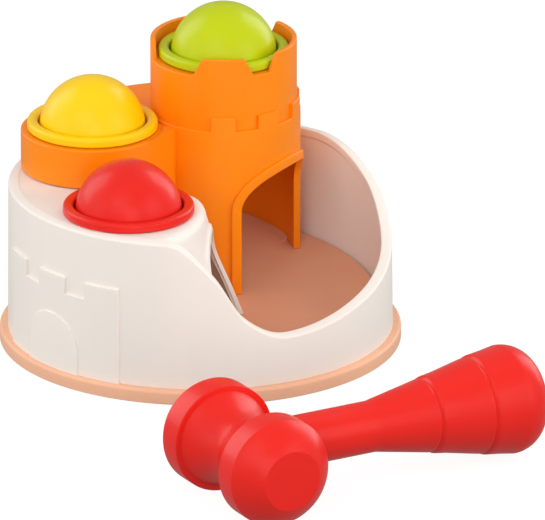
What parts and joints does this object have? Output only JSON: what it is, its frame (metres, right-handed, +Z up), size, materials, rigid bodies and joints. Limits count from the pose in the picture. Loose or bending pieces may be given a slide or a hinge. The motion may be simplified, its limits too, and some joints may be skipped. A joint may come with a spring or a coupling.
{
  "type": "ball pounding toy",
  "caption": "Castle-shaped pounding toy: a hammer knocks coloured balls through flexible seats onto a ramp inside a round drum, and they roll out into its open tray.",
  "frame": {"origin": "centre of the drum's base, on its underside", "axes": "+Z up; the drum's front is -Y, the tray opens towards +X and -Y, and the hammer lies in front of it"},
  "size_m": [0.2553, 0.3588, 0.1496],
  "materials": {
    "peach_plastic": "satin moulded",
    "white_plastic": "satin moulded",
    "orange_plastic": "semi-gloss moulded",
    "red_plastic": "gloss moulded",
    "yellow_plastic": "gloss moulded",
    "green_plastic": "gloss moulded",
    "red_soft": "soft moulded",
    "yellow_soft": "soft moulded",
    "green_soft": "soft moulded",
    "screw_steel": "zinc plated"
  },
  "bodies": {
    "toy": {"base_plate": "peach_plastic", "ramp_floor": "peach_plastic", "drum_housing": "white_plastic", "castle_top": "orange_plastic", "red_collar": "red_plastic", "red_grip": "red_soft", "yellow_collar": "yellow_plastic", "yellow_grip": "yellow_soft", "green_collar": "green_plastic", "green_grip": "green_soft", "wall_screw_1": "screw_steel", "wall_screw_2": "screw_steel", "wall_screw_3": "screw_steel", "wall_screw_4": "screw_steel", "wall_screw_5": "screw_steel", "wall_screw_6": "screw_steel", "ramp_screw_1": "screw_steel", "ramp_screw_2": "screw_steel", "ramp_screw_3": "screw_steel", "castle_screw_1": "screw_steel", "castle_screw_2": "screw_steel"},
    "red_ball": {"red_ball": "red_plastic"},
    "yellow_ball": {"yellow_ball": "yellow_plastic"},
    "green_ball": {"green_ball": "green_plastic"},
    "hammer": {"hammer_head": "red_plastic", "hammer_handle": "red_plastic"}
  },
  "joints": [
    {"name": "red_ball_drop", "type": "slide", "parent": "toy", "child": "red_ball", "axis": [0, 0, -1], "range_m": [-0.06, 0.034], "deforming": ["red_grip"]},
    {"name": "yellow_ball_drop", "type": "slide", "parent": "toy", "child": "yellow_ball", "axis": [0, 0, -1], "range_m": [-0.06, 0.044], "deforming": ["yellow_grip"]},
    {"name": "green_ball_drop", "type": "slide", "parent": "toy", "child": "green_ball", "axis": [0, 0, -1], "range_m": [-0.06, 0.072], "deforming": ["green_grip"]},
    {"name": "hammer_lift", "type": "slide", "parent": "toy", "child": "hammer", "axis": [0, 0, 1], "range_m": [0, 0.15]}
  ]
}
